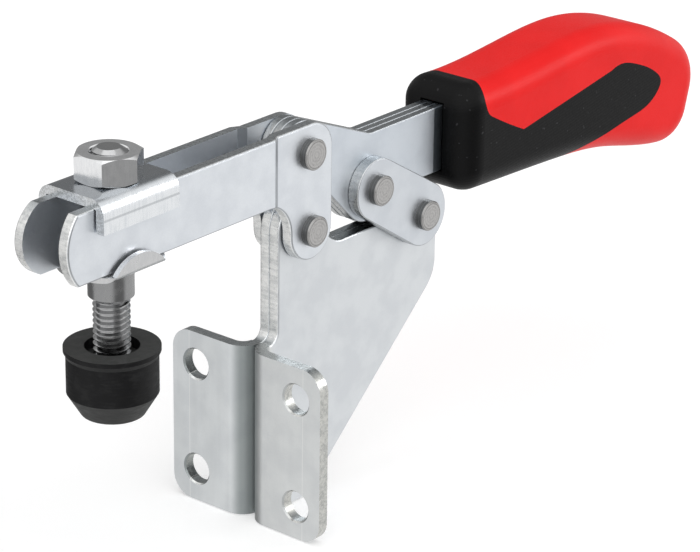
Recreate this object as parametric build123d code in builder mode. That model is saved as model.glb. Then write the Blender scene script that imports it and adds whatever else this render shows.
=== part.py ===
from build123d import *
from math import atan2, cos, degrees, hypot, pi, radians, sin
import os

# Horizontal toggle clamp with an open arm and an upright angle foot, shown closed.
# Frame: the front face of the foot is the plane x = 0, the clamp runs along +X to its handle,
# +Z is up, and the clamp is symmetric about y = 0. The origin is the centre of the four
# mounting holes. "Right" is the -Y side and "left" the +Y side.
# All sizes are in millimetres.

# ---- foot and frame plates: two bent sheets standing back to back
frame_sheet = 2.7
foot_width = 43.0
foot_height = 41.0
foot_corner_radius = 5.0
hole_spacing_y = 29.2
hole_spacing_z = 25.7
hole_diameter = 7.0
hole_edge_break = 0.35
bend_outer_radius = 5.1
web_front_x = 7.8
web_front_corner = 2.5
web_rear_x = 63.4
web_rear_corner = 9.0
web_foot_length = 18.0
web_slope_angle = 41.8
notch_floor_z = 38.4
notch_front_radius = 6.6
notch_rear_radius = 3.5
rear_hump_z = 36.0
rear_hump_radius = 8.7

# ---- pivots, as (x, z)
arm_pivot = (15.55, 45.4)
handle_pivot = (14.8, 63.4)
frame_link_pivot = (55.15, 37.8)
link_length = 20.2

# ---- rivets and the bushes that they turn in
rivet_shank = 5.0
rivet_head = 7.0
rivet_head_height = 1.85
rivet_head_chamfer = 0.25
bush_outside = 7.4
running_clearance = 0.05
side_clearance = 0.1

# ---- roundings of the sheared outlines
outer_edge_break = 0.5
inner_edge_break = 0.3

# ---- handle lever: three plates laid together
lever_sheet = 2.0
lever_plates = 3
lever_front_radius = 6.7
lever_link_radius = 8.15
lever_bar_bottom_z = 45.4
lever_bar_top_z = 61.1
lever_bar_end_x = 74.0
lever_front_edge_offset = 2.2
lever_front_edge_angle = 45.0
lever_top_start_x = 38.4
tang_height = 12.0
tang_end_x = 122.0

# ---- clamping arm: two plates, wider apart in front than at the pivots
arm_sheet = 2.5
arm_front_gap = 8.3
arm_bottom_z = 54.5
arm_top_z = 69.9
arm_tip_right_x = -60.4
arm_tip_left_x = -62.3
arm_tip_straight_x = -57.4
arm_leg_radius = 6.8
arm_leg_rear_x = 22.35
arm_top_corner = 6.5
arm_leg_fillet = 8.3
joggle_front_x = 2.2
joggle_length = 2.0

# ---- links
link_sheet = 2.7
link_radius_front = 7.15
link_radius_rear = 7.5

# ---- spindle group, clamped across the arm
spindle_x = -41.45
thread_diameter = 8.0
thread_clearance = 0.05
spindle_disc_diameter = 14.0
spindle_disc_height = 3.0
spindle_disc_floor = 4.5
spindle_rise = 0.7
spindle_end_diameter = 5.6
spindle_end_height = 0.75
nut_across_flats = 13.0
nut_height = 5.9
nut_turned = 3.0
nut_mouth_chamfer = 0.2
nut_seat_gap = 0.05
upper_saddle_sheet = 2.1
upper_saddle_length = 22.2
upper_saddle_side_gap = 0.35
upper_saddle_drop = 7.2
upper_saddle_bend = 3.4
lower_saddle_sheet = 1.2
lower_saddle_radius = 11.2
lower_saddle_side_gap = 0.75
lower_saddle_rise = 3.3
lower_saddle_moon_radius = 9.3
lower_saddle_bend = 1.8
spindle_hole_clearance = 0.25
sleeve_diameter = 9.8
sleeve_height = 7.5
sleeve_chamfer = 0.8

# ---- rubber cap
cap_bottom_z = 19.9
cap_height = 15.25
cap_lip_diameter = 20.5
cap_body_diameter = 19.5
cap_lip_height = 2.0
cap_foot_diameter = 13.4
cap_cone_height = 5.0
cap_foot_round = 0.8
cap_mouth_diameter = 11.7
cap_mouth_depth = 2.4

# ---- grip
# Its outline is given as (distance behind the grip's front face, height).
grip_front_x = 64.0
grip_width = 21.6
grip_side_radius = 6.0
grip_nose_radius = 6.2
grip_top_corner_radius = 12.0
grip_bottom_corner_radius = 10.0
grip_top_front = (0.0, 66.2)
grip_top_brow = (35.0, 67.0)
grip_top_crest = (55.5, 67.75)
grip_top_fall = (84.0, 59.4)
grip_top_rear = (96.6, 51.6)
grip_bottom_front = (0.0, 40.0)
grip_bottom_belly = (36.0, 38.4)
grip_bottom_flare = (58.0, 36.1)
grip_bottom_heel = (79.0, 31.3)
grip_bottom_rear = (90.7, 30.5)
grip_skin = 2.2
slot_clearance = 0.4
slot_depth = 5.0
collar_edge_top = (11.2, 66.5)
collar_edge_brow = (8.5, 65.4)
collar_edge_side = (6.8, 62.4)
collar_edge_waist = (9.4, 57.6)
inlay_valley = (21.2, 51.6)
inlay_valley_middle = (15.8, 54.2)
inlay_brow = (56.0, 57.3)
inlay_crown = (60.6, 58.0)
inlay_crown_rear = (66.5, 56.4)
inlay_shoulder = (74.4, 52.6)
inlay_end = (77.3, 49.2)
inlay_end_low = (75.6, 46.6)
inlay_heel = (65.5, 43.2)
inlay_belly = (49.0, 40.5)
inlay_belly_front = (33.0, 36.5)

os.makedirs("parts", exist_ok=True)


# ---- places worked out from the sizes above
def along(start, end, distance):
    """The point that lies the given distance from start towards end."""
    span = hypot(end[0] - start[0], end[1] - start[1])
    return tuple(a + (b - a) * distance / span for a, b in zip(start, end))


def offset_point(start, angle, distance):
    """The point at the given distance from start, at an angle in degrees from +X towards +Z."""
    return (start[0] + distance * cos(radians(angle)), start[1] + distance * sin(radians(angle)))


# Closed, the clamp is locked: the handle pivot, the link pivot and the frame pivot are in line.
link_pivot = along(frame_link_pivot, handle_pivot, link_length)

lever_half = lever_sheet * lever_plates / 2
arm_inner_rear = lever_half + side_clearance
arm_outer_rear = arm_inner_rear + arm_sheet
arm_inner_front = arm_front_gap / 2
arm_outer_front = arm_inner_front + arm_sheet
link_inner = lever_half + side_clearance
link_outer = link_inner + link_sheet
saddle_top_z = arm_top_z + upper_saddle_sheet
nut_bottom_z = saddle_top_z + nut_seat_gap
nut_top_z = nut_bottom_z + nut_height
lower_saddle_bottom_z = arm_bottom_z - lower_saddle_sheet
sleeve_bottom_z = lower_saddle_bottom_z - sleeve_height
thread_radius = thread_diameter / 2
cap_top_z = cap_bottom_z + cap_height


def round_corner(sketch, corner, radius):
    """Rounds the vertex of a sketch that is nearest to the given point."""
    nearest = sketch.vertices().sort_by_distance(Vector(corner[0], corner[1], 0))[0]
    fillet(nearest, radius=radius)


def rim_of(faces):
    """The outline of faces that adjoin, without the edges between them."""
    edges = [edge for face in faces for edge in face.outer_wire().edges()]
    return [edge for edge in edges if sum(edge.is_same(other) for other in edges) == 1]


def save(piece, name):
    """Labels a finished piece and writes it as one STEP file."""
    piece.part.label = name
    export_step(piece.part, f"parts/{name}.step")


# ---- frame plates
# The web stands on the plane y = 0 and its front strip is bent outwards into the foot.
def web_outline(sketch):
    """The side view of a frame plate behind its bend."""
    low = -foot_height / 2
    high = foot_height / 2
    slope_top = low + (web_rear_x - web_foot_length) * sin(radians(web_slope_angle)) / cos(
        radians(web_slope_angle)
    )
    boss_radius = arm_pivot[0] - web_front_x
    boss_rear_x = arm_pivot[0] + boss_radius
    hump_x = web_rear_x - rear_hump_radius
    hump_front_x = hump_x - (rear_hump_radius**2 - (notch_floor_z - rear_hump_z) ** 2) ** 0.5
    Polygon(
        (bend_outer_radius, low),
        (web_foot_length, low),
        (web_rear_x, slope_top),
        (web_rear_x, rear_hump_z),
        (hump_x, rear_hump_z),
        (hump_x, notch_floor_z),
        (boss_rear_x, notch_floor_z),
        (boss_rear_x, arm_pivot[1]),
        (web_front_x, arm_pivot[1]),
        (web_front_x, high),
        (bend_outer_radius, high),
        align=None,
    )
    with Locations(arm_pivot):
        Circle(boss_radius)
    with Locations((hump_x, rear_hump_z)):
        Circle(rear_hump_radius)
    round_corner(sketch, (web_rear_x, slope_top), web_rear_corner)
    round_corner(sketch, (boss_rear_x, notch_floor_z), notch_front_radius)
    round_corner(sketch, (hump_front_x, notch_floor_z), notch_rear_radius)
    round_corner(sketch, (web_front_x, high), web_front_corner)
    with Locations(arm_pivot, frame_link_pivot):
        Circle(bush_outside / 2, mode=Mode.SUBTRACT)


def frame_plate():
    """The right frame plate."""
    bend_inner_radius = bend_outer_radius - frame_sheet
    with BuildPart() as plate:
        with BuildSketch(Plane.XZ) as web:
            web_outline(web)
        extrude(amount=frame_sheet)
        with BuildSketch(Plane.XY.offset(-foot_height / 2)):
            with BuildLine():
                Line((bend_outer_radius, 0), (bend_outer_radius, -frame_sheet))
                RadiusArc(
                    (bend_outer_radius, -frame_sheet),
                    (frame_sheet, -bend_outer_radius),
                    bend_inner_radius,
                )
                Line((frame_sheet, -bend_outer_radius), (frame_sheet, -foot_width / 2))
                Line((frame_sheet, -foot_width / 2), (0, -foot_width / 2))
                Line((0, -foot_width / 2), (0, -bend_outer_radius))
                RadiusArc((0, -bend_outer_radius), (bend_outer_radius, 0), -bend_outer_radius)
            make_face()
        extrude(amount=foot_height)
        foot_corners = plate.edges().filter_by(Axis.X).group_by(Axis.Y)[0]
        fillet(foot_corners, radius=foot_corner_radius)
        with BuildSketch(Plane.YZ) as holes:
            with Locations((-hole_spacing_y / 2, 0)):
                with GridLocations(1, hole_spacing_z, 1, 2):
                    Circle(hole_diameter / 2)
        extrude(amount=frame_sheet, mode=Mode.SUBTRACT)
        front_rims = plate.faces().sort_by(Axis.X)[0].edges().filter_by(GeomType.CIRCLE)
        hole_rims = front_rims.filter_by(lambda e: abs(e.radius - hole_diameter / 2) < hole_edge_break)
        chamfer(hole_rims, hole_edge_break)
        corner_start_x = web_front_x - web_front_corner
        for place, edge_break in ((-2, outer_edge_break), (-1, inner_edge_break)):
            web_faces = plate.faces().filter_by(Axis.Y).group_by(Axis.Y)[place]
            rim = [edge for edge in rim_of(web_faces) if edge.center().X > corner_start_x]
            fillet(rim, radius=edge_break)
    return plate


frame_plate_right = frame_plate()
save(frame_plate_right, "frame_plate_right")

with BuildPart() as frame_plate_left:
    add(frame_plate_right.part)
    mirror(about=Plane.XZ, mode=Mode.REPLACE)
save(frame_plate_left, "frame_plate_left")


# ---- bushes and rivets, all along Y
def bush(place, half_length, name):
    """A hardened tube pressed into the plates, in which a rivet turns."""
    with BuildPart() as tube:
        with BuildSketch(Plane.XZ):
            with Locations(place):
                Circle(bush_outside / 2)
                Circle(rivet_shank / 2 + running_clearance, mode=Mode.SUBTRACT)
        extrude(amount=half_length, both=True)
    save(tube, name)


def rivet_profile(sketch_from, head_from):
    """Half the section of a headed rivet end, out along +Y: shank from sketch_from, then the head."""
    head_to = head_from + rivet_head_height
    Polygon(
        (0, sketch_from),
        (rivet_shank / 2, sketch_from),
        (rivet_shank / 2, head_from),
        (rivet_head / 2, head_from),
        (rivet_head / 2, head_to - rivet_head_chamfer),
        (rivet_head / 2 - rivet_head_chamfer, head_to),
        (0, head_to),
        align=None,
    )


def rivet(place, head_from, name, shank_from=0.0):
    """A rivet with a head on each side; its shank may stop short of the middle."""
    centre = Plane((place[0], 0, place[1]), x_dir=(1, 0, 0), z_dir=(0, 0, 1))
    with BuildPart() as piece:
        with BuildSketch(centre):
            rivet_profile(shank_from, head_from)
        revolve(axis=Axis((place[0], 0, place[1]), (0, 1, 0)))
        mirror(about=Plane.XZ)
    save(piece, name)


bush(arm_pivot, arm_inner_rear - running_clearance, "frame_bush_front")
bush(frame_link_pivot, link_inner - running_clearance, "frame_bush_rear")
bush(handle_pivot, lever_half, "handle_bush_front")
bush(link_pivot, lever_half, "handle_bush_rear")
rivet(arm_pivot, arm_outer_rear, "arm_frame_rivet")
rivet(handle_pivot, arm_outer_rear, "arm_handle_rivet")
rivet(frame_link_pivot, link_outer, "link_frame_rivet")
# The closed loop is opened at this pivot: its shank is left out between the links.
rivet(link_pivot, link_outer, "link_handle_rivet", shank_from=link_inner)


# ---- clamping arm
def arm_outline(sketch, tip_x):
    """The side view of an arm plate: a bar with a round tip, and a leg down to the frame."""
    tip_low = (arm_tip_straight_x, arm_bottom_z)
    tip_high = (arm_tip_straight_x, arm_top_z)
    leg_front_x = arm_pivot[0] - arm_leg_radius
    with BuildLine() as bar:
        Polyline(
            tip_high,
            (arm_leg_rear_x, arm_top_z),
            (arm_leg_rear_x, arm_pivot[1]),
            (leg_front_x, arm_pivot[1]),
            (leg_front_x, arm_bottom_z),
            tip_low,
        )
        ThreePointArc(tip_low, (tip_x, (arm_bottom_z + arm_top_z) / 2), tip_high)
    make_face(bar.edges())
    with Locations(arm_pivot):
        Circle(arm_leg_radius)
    round_corner(sketch, (arm_leg_rear_x, arm_top_z), arm_top_corner)
    round_corner(sketch, (leg_front_x, arm_bottom_z), arm_leg_fillet)
    with Locations(arm_pivot, handle_pivot):
        Circle(rivet_shank / 2, mode=Mode.SUBTRACT)


def arm_plate(tip_x):
    """An arm plate on the right-hand side, joggled inwards where it meets the handle."""
    joggle_rear_x = joggle_front_x + joggle_length
    end_x = arm_leg_rear_x + arm_sheet
    with BuildPart() as plate:
        with BuildSketch(Plane.XY.offset(arm_pivot[1] - 2 * arm_leg_radius)):
            Polygon(
                (tip_x, -arm_outer_front),
                (joggle_front_x, -arm_outer_front),
                (joggle_rear_x, -arm_outer_rear),
                (end_x, -arm_outer_rear),
                (end_x, -arm_inner_rear),
                (joggle_rear_x, -arm_inner_rear),
                (joggle_front_x, -arm_inner_front),
                (tip_x, -arm_inner_front),
                align=None,
            )
        extrude(amount=arm_top_z - arm_pivot[1] + 3 * arm_leg_radius)
        with BuildSketch(Plane.XZ) as outline:
            arm_outline(outline, tip_x)
        extrude(amount=2 * arm_outer_front, mode=Mode.INTERSECT)
        flat_faces = plate.faces().filter_by(GeomType.PLANE)
        outer_faces = [face for face in flat_faces if face.normal_at().Y < -cos(radians(45))]
        fillet(rim_of(outer_faces), radius=outer_edge_break)
    return plate


save(arm_plate(arm_tip_right_x), "arm_plate_right")

with BuildPart() as arm_plate_left:
    add(arm_plate(arm_tip_left_x).part)
    mirror(about=Plane.XZ, mode=Mode.REPLACE)
save(arm_plate_left, "arm_plate_left")


# ---- links
with BuildPart() as link_plate_right:
    with BuildSketch(Plane.XZ.offset(link_inner)):
        with Locations(link_pivot):
            Circle(link_radius_front)
        with Locations(frame_link_pivot):
            Circle(link_radius_rear)
        make_hull()
        with Locations(link_pivot, frame_link_pivot):
            Circle(rivet_shank / 2, mode=Mode.SUBTRACT)
    extrude(amount=link_sheet)
    fillet(rim_of(link_plate_right.faces().sort_by(Axis.Y)[:1]), radius=inner_edge_break)
save(link_plate_right, "link_plate_right")

with BuildPart() as link_plate_left:
    add(link_plate_right.part)
    mirror(about=Plane.XZ, mode=Mode.REPLACE)
save(link_plate_left, "link_plate_left")


# ---- handle lever
def lever_outline(sketch):
    """The side view of a lever plate: front eye, link eye, bar and the tang inside the grip."""
    bar_middle_z = (lever_bar_bottom_z + lever_bar_top_z) / 2
    edge_normal = -90 - lever_front_edge_angle
    front_low = offset_point(handle_pivot, edge_normal, lever_front_edge_offset)
    link_low = offset_point(link_pivot, edge_normal, lever_link_radius)
    # The top edge runs from the front eye, as its tangent, down to the bar.
    top_start = (lever_top_start_x, lever_bar_top_z)
    reach = hypot(top_start[0] - handle_pivot[0], top_start[1] - handle_pivot[1])
    to_top_start = degrees(atan2(top_start[1] - handle_pivot[1], top_start[0] - handle_pivot[0]))
    tangent_angle = to_top_start + degrees(pi / 2) - degrees(
        atan2(lever_front_radius, (reach**2 - lever_front_radius**2) ** 0.5)
    )
    front_high = offset_point(handle_pivot, tangent_angle, lever_front_radius)
    bar_join = (link_pivot[0], lever_bar_bottom_z)
    Polygon(
        front_high,
        top_start,
        (lever_bar_end_x, lever_bar_top_z),
        (lever_bar_end_x, bar_middle_z + tang_height / 2),
        (tang_end_x, bar_middle_z + tang_height / 2),
        (tang_end_x, bar_middle_z - tang_height / 2),
        (lever_bar_end_x, bar_middle_z - tang_height / 2),
        (lever_bar_end_x, lever_bar_bottom_z),
        bar_join,
        link_low,
        front_low,
        align=None,
    )
    with Locations(handle_pivot):
        Circle(lever_front_radius)
    with Locations(link_pivot):
        Circle(lever_link_radius)
    eye_drop = link_pivot[1] - lever_bar_bottom_z
    bar_start_x = link_pivot[0] + (lever_link_radius**2 - eye_drop**2) ** 0.5
    round_corner(sketch, (bar_start_x, lever_bar_bottom_z), lever_link_radius / 2)
    round_corner(sketch, top_start, lever_link_radius / 2)
    with Locations(handle_pivot, link_pivot):
        Circle(bush_outside / 2, mode=Mode.SUBTRACT)


def lever_plate(number, name):
    """One of the lever's plates, counted from the right."""
    with BuildPart() as plate:
        with BuildSketch(Plane.XZ.offset(lever_half - number * lever_sheet)) as outline:
            lever_outline(outline)
        extrude(amount=-lever_sheet)
        fillet(rim_of(plate.faces().filter_by(Axis.Y)), radius=inner_edge_break)
    save(plate, name)


for number, side in enumerate(("right", "middle", "left")):
    lever_plate(number, f"handle_plate_{side}")


# ---- grip
def on_grip(point, rise=0.0):
    """A point of the grip's outline in the side view, raised by the given amount."""
    return (grip_front_x + point[0], point[1] + rise)


def grip_form(inset):
    """The moulded form of the grip, set in all round by the given amount."""
    half = grip_width / 2 - inset
    front_x = grip_front_x + inset
    rear_high = on_grip((grip_top_rear[0] - inset, grip_top_rear[1] - inset))
    rear_low = on_grip((grip_bottom_rear[0] - inset, grip_bottom_rear[1] + inset))
    with BuildPart() as form:
        with BuildSketch(Plane.XZ.offset(-half)) as profile:
            with BuildLine():
                top = Spline(
                    (front_x, grip_top_front[1] - inset),
                    on_grip(grip_top_brow, -inset),
                    on_grip(grip_top_crest, -inset),
                    on_grip(grip_top_fall, -inset),
                    rear_high,
                )
                bottom = Spline(
                    (front_x, grip_bottom_front[1] + inset),
                    on_grip(grip_bottom_belly, inset),
                    on_grip(grip_bottom_flare, inset),
                    on_grip(grip_bottom_heel, inset),
                    rear_low,
                )
                Line(top @ 0, bottom @ 0)
                Line(top @ 1, bottom @ 1)
            make_face()
            round_corner(profile, rear_high, grip_top_corner_radius - inset)
            round_corner(profile, rear_low, grip_bottom_corner_radius - inset)
        extrude(amount=2 * half)
        nose = form.faces().sort_by(Axis.X)[0]
        fillet(nose.edges().filter_by(Axis.Z), radius=grip_nose_radius - inset)
        sides = form.faces().filter_by(Axis.Y)
        rims = sides.edges() + form.faces().sort_by(Axis.X)[0].edges()
        upright = form.edges().filter_by(Axis.Z)
        rims = [edge for edge in rims if not any(edge.is_same(other) for other in upright)]
        corners = form.faces().filter_by(GeomType.CYLINDER).sort_by(Axis.X)[:2].edges()
        rims += [edge for edge in corners if not any(edge.is_same(other) for other in upright)]
        fillet(rims, radius=grip_side_radius - inset)
    return form.part


def tang_pocket(mode):
    """The pocket for the lever: close round the tang, and open round the bar at its mouth."""
    bar_middle_z = (lever_bar_bottom_z + lever_bar_top_z) / 2
    bar_height = lever_bar_top_z - lever_bar_bottom_z
    width = 2 * lever_half
    mouth_x = grip_front_x + slot_depth
    for start, end, height, room in (
        (grip_front_x - slot_depth, mouth_x, bar_height, slot_clearance),
        (grip_front_x, lever_bar_end_x, bar_height, 0),
        (grip_front_x, tang_end_x, tang_height, 0),
    ):
        with BuildSketch(Plane.YZ.offset(start)) as opening:
            with Locations((0, bar_middle_z)):
                Rectangle(width + 2 * room, height + 2 * room)
        extrude(opening.sketch, amount=end - start, mode=mode)


def soft_region():
    """The side view of the soft overmould: the collar, the belly and the band along the grip."""
    outside = grip_width
    front_high = on_grip((-grip_skin, collar_edge_top[1] + outside))
    front_low = on_grip((-grip_skin, inlay_belly_front[1] - outside))
    with BuildLine() as border:
        Line(front_high, on_grip((collar_edge_top[0], collar_edge_top[1] + outside)))
        Line(on_grip((collar_edge_top[0], collar_edge_top[1] + outside)), on_grip(collar_edge_top))
        Spline(
            on_grip(collar_edge_top),
            on_grip(collar_edge_brow),
            on_grip(collar_edge_side),
            on_grip(collar_edge_waist),
        )
        ThreePointArc(on_grip(collar_edge_waist), on_grip(inlay_valley_middle), on_grip(inlay_valley))
        Line(on_grip(inlay_valley), on_grip(inlay_brow))
        Spline(
            on_grip(inlay_brow),
            on_grip(inlay_crown),
            on_grip(inlay_crown_rear),
            on_grip(inlay_shoulder),
            on_grip(inlay_end),
            on_grip(inlay_end_low),
            on_grip(inlay_heel),
            on_grip(inlay_belly),
            on_grip(inlay_belly_front),
        )
        Line(on_grip(inlay_belly_front), on_grip((inlay_belly_front[0], inlay_belly_front[1] - outside)))
        Line(on_grip((inlay_belly_front[0], inlay_belly_front[1] - outside)), front_low)
        Line(front_low, front_high)
    make_face(border.edges())


grip_solid = grip_form(0)
grip_kernel = grip_form(grip_skin)

with BuildPart() as grip_overmould:
    with BuildSketch(Plane.XZ.offset(-grip_width)):
        soft_region()
    extrude(amount=2 * grip_width)
    add(grip_solid, mode=Mode.INTERSECT)
    add(grip_kernel, mode=Mode.SUBTRACT)
    tang_pocket(Mode.SUBTRACT)
save(grip_overmould, "grip_overmould")

with BuildPart() as grip_core:
    add(grip_solid)
    add(grip_overmould.part, mode=Mode.SUBTRACT)
    tang_pocket(Mode.SUBTRACT)
save(grip_core, "grip_core")


# ---- upper saddle: a channel over both arm plates
with BuildPart() as upper_saddle:
    saddle_inner = arm_outer_front + upper_saddle_side_gap
    saddle_outer = saddle_inner + upper_saddle_sheet
    saddle_start_x = spindle_x - upper_saddle_length / 2
    with BuildSketch(Plane.YZ.offset(saddle_start_x)) as section:
        with Locations((0, saddle_top_z)):
            Rectangle(2 * saddle_outer, upper_saddle_drop, align=(Align.CENTER, Align.MAX))
        with Locations((0, arm_top_z)):
            Rectangle(
                2 * saddle_inner,
                upper_saddle_drop,
                align=(Align.CENTER, Align.MAX),
                mode=Mode.SUBTRACT,
            )
        for side in (-1, 1):
            round_corner(section, (side * saddle_outer, saddle_top_z), upper_saddle_bend)
            round_corner(section, (side * saddle_inner, arm_top_z), upper_saddle_side_gap)
    extrude(amount=upper_saddle_length)
    with BuildSketch(Plane.XY.offset(arm_top_z)):
        with Locations((spindle_x, 0)):
            Circle(thread_radius + spindle_hole_clearance)
    extrude(amount=upper_saddle_sheet, mode=Mode.SUBTRACT)
save(upper_saddle, "upper_saddle")


# ---- lower saddle: a round washer with two sides bent up outside the arm
with BuildPart() as lower_saddle:
    washer_inner = arm_outer_front + lower_saddle_side_gap
    washer_outer = washer_inner + lower_saddle_sheet
    with BuildSketch(Plane.YZ.offset(spindle_x - lower_saddle_radius)) as section:
        with Locations((0, lower_saddle_bottom_z)):
            Rectangle(
                2 * washer_outer,
                lower_saddle_sheet + lower_saddle_rise,
                align=(Align.CENTER, Align.MIN),
            )
        with Locations((0, arm_bottom_z)):
            Rectangle(
                2 * washer_inner,
                lower_saddle_rise,
                align=(Align.CENTER, Align.MIN),
                mode=Mode.SUBTRACT,
            )
        for side in (-1, 1):
            round_corner(section, (side * washer_outer, lower_saddle_bottom_z), lower_saddle_bend)
    extrude(amount=2 * lower_saddle_radius)
    with BuildSketch(Plane.XY.offset(lower_saddle_bottom_z)):
        with Locations((spindle_x, 0)):
            Circle(lower_saddle_radius)
            Circle(thread_radius + spindle_hole_clearance, mode=Mode.SUBTRACT)
    extrude(amount=lower_saddle_sheet + lower_saddle_rise, mode=Mode.INTERSECT)
    moon_top_z = arm_bottom_z + lower_saddle_rise
    with BuildSketch(Plane.XZ.offset(-2 * washer_outer)):
        with Locations((spindle_x, moon_top_z - lower_saddle_moon_radius)):
            Circle(lower_saddle_moon_radius)
        with Locations((spindle_x, arm_bottom_z)):
            Rectangle(4 * lower_saddle_radius, 2 * lower_saddle_sheet, align=(Align.CENTER, Align.MAX))
    extrude(amount=4 * washer_outer, mode=Mode.INTERSECT)
save(lower_saddle, "lower_saddle")


# ---- threaded sleeve under the lower saddle
with BuildPart() as threaded_sleeve:
    with BuildSketch(Plane.XY.offset(sleeve_bottom_z)):
        with Locations((spindle_x, 0)):
            Circle(sleeve_diameter / 2)
            Circle(thread_radius, mode=Mode.SUBTRACT)
    extrude(amount=sleeve_height)
    sleeve_rim = threaded_sleeve.faces().sort_by(Axis.Z)[0].edges().sort_by(SortBy.RADIUS)[-1]
    chamfer(sleeve_rim, sleeve_chamfer)
save(threaded_sleeve, "threaded_sleeve")


# ---- lock nut: a hexagon with its corners turned off at both ends
with BuildPart() as lock_nut:
    corner_radius = nut_across_flats / 2 / cos(pi / 6)
    corner_cut = (corner_radius - nut_across_flats / 2) * sin(radians(30)) / cos(radians(30))
    with BuildSketch(Plane.XY.offset(nut_bottom_z)):
        with Locations((spindle_x, 0)):
            RegularPolygon(nut_across_flats / 2, 6, major_radius=False, rotation=30 + nut_turned)
            Circle(thread_radius, mode=Mode.SUBTRACT)
    extrude(amount=nut_height)
    with BuildSketch(Plane.XZ):
        with Locations((spindle_x, nut_bottom_z)):
            Polygon(
                (0, 0),
                (nut_across_flats / 2, 0),
                (corner_radius, corner_cut),
                (corner_radius, nut_height - corner_cut),
                (nut_across_flats / 2, nut_height),
                (0, nut_height),
                align=None,
            )
    revolve(axis=Axis((spindle_x, 0, 0), (0, 0, 1)), mode=Mode.INTERSECT)
    nut_mouths = lock_nut.edges().filter_by(GeomType.CIRCLE).filter_by(
        lambda e: abs(e.radius - thread_radius) < 0.01
    )
    chamfer(nut_mouths, nut_mouth_chamfer)
save(lock_nut, "lock_nut")


# ---- spindle: the threaded rod, with a disc inside the cap
with BuildPart() as spindle:
    disc_bottom_z = cap_bottom_z + spindle_disc_floor
    disc_top_z = disc_bottom_z + spindle_disc_height
    rod_radius = thread_radius - thread_clearance
    rod_top_z = nut_top_z + spindle_rise
    with BuildSketch(Plane.XZ):
        with Locations((spindle_x, 0)):
            Polygon(
                (0, disc_bottom_z),
                (spindle_disc_diameter / 2, disc_bottom_z),
                (spindle_disc_diameter / 2, disc_top_z),
                (rod_radius, disc_top_z),
                (rod_radius, rod_top_z - spindle_end_height),
                (spindle_end_diameter / 2, rod_top_z),
                (0, rod_top_z),
                align=None,
            )
    revolve(axis=Axis((spindle_x, 0, 0), (0, 0, 1)))
save(spindle, "spindle")


# ---- rubber cap
with BuildPart() as rubber_cap:
    neck_radius = thread_radius + spindle_hole_clearance
    pocket_radius = spindle_disc_diameter / 2 + running_clearance
    pocket_bottom_z = disc_bottom_z - running_clearance
    pocket_top_z = disc_top_z + running_clearance
    mouth_bottom_z = cap_top_z - cap_mouth_depth
    with BuildSketch(Plane.XZ) as cap_section:
        with Locations((spindle_x, 0)):
            Polygon(
                (0, cap_bottom_z),
                (cap_foot_diameter / 2, cap_bottom_z),
                (cap_body_diameter / 2, cap_bottom_z + cap_cone_height),
                (cap_body_diameter / 2, cap_top_z - cap_lip_height),
                (cap_lip_diameter / 2, cap_top_z - cap_lip_height / 2),
                (cap_lip_diameter / 2, cap_top_z),
                (cap_mouth_diameter / 2, cap_top_z),
                (cap_mouth_diameter / 2, mouth_bottom_z),
                (neck_radius, mouth_bottom_z),
                (neck_radius, pocket_top_z),
                (pocket_radius, pocket_top_z),
                (pocket_radius, pocket_bottom_z),
                (0, pocket_bottom_z),
                align=None,
            )
        foot_corner = (spindle_x + cap_foot_diameter / 2, cap_bottom_z)
        round_corner(cap_section, foot_corner, cap_foot_round)
    revolve(axis=Axis((spindle_x, 0, 0), (0, 0, 1)))
save(rubber_cap, "rubber_cap")
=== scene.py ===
import math

import bmesh
import bpy
from mathutils import Matrix, Vector


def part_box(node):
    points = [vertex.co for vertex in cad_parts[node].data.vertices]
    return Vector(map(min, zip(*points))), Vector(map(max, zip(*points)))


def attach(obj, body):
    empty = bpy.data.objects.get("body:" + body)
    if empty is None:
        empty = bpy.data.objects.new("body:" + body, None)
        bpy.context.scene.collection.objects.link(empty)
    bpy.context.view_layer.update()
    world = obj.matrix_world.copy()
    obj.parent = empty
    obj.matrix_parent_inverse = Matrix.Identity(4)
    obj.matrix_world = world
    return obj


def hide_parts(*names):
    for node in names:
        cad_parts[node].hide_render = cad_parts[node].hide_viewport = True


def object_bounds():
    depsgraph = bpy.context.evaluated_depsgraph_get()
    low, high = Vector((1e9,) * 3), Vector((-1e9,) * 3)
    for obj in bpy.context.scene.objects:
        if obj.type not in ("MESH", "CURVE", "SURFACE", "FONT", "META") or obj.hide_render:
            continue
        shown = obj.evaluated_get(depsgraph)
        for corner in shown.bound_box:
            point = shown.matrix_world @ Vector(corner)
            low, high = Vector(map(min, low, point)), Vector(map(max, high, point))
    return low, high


# %% [markdown]
# This scene dresses a horizontal toggle clamp. Its steel plates, rivets, nut and grip come
# ready as solids, in metres, and they stay where they are. What Blender adds is the finish of
# every surface, the rounded bends of the foot, the screw thread of the spindle, and a small
# studio around it.

# %% Load the clamp
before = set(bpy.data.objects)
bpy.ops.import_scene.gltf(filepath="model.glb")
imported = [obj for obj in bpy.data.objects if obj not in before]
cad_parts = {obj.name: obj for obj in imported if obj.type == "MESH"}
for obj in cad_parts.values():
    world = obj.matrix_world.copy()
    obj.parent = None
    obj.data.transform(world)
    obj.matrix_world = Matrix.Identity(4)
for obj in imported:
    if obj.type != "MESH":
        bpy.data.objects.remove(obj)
solids_box = [list(corner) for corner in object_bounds()]
print("solids loaded:", len(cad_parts), "box", solids_box)

# %% [markdown]
# A long lens from far away keeps parallel edges nearly parallel, which suits a product. The
# camera is built from three directions: right, up and back. They come from a turn round
# the upright axis, a tilt down and a slight roll, and a matrix of the three places the camera
# exactly, with no need to aim it by hand.

# %% Camera
camera_turn = math.radians(-50.525)
camera_tilt = math.radians(22.102)
camera_roll = math.radians(0.762)
camera_distance = 0.68588
camera_right_shift = 0.023108
camera_up_shift = 0.035077
picture_width = 700
focal_pixels = 3109.8
sensor_width = 36.0

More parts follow.
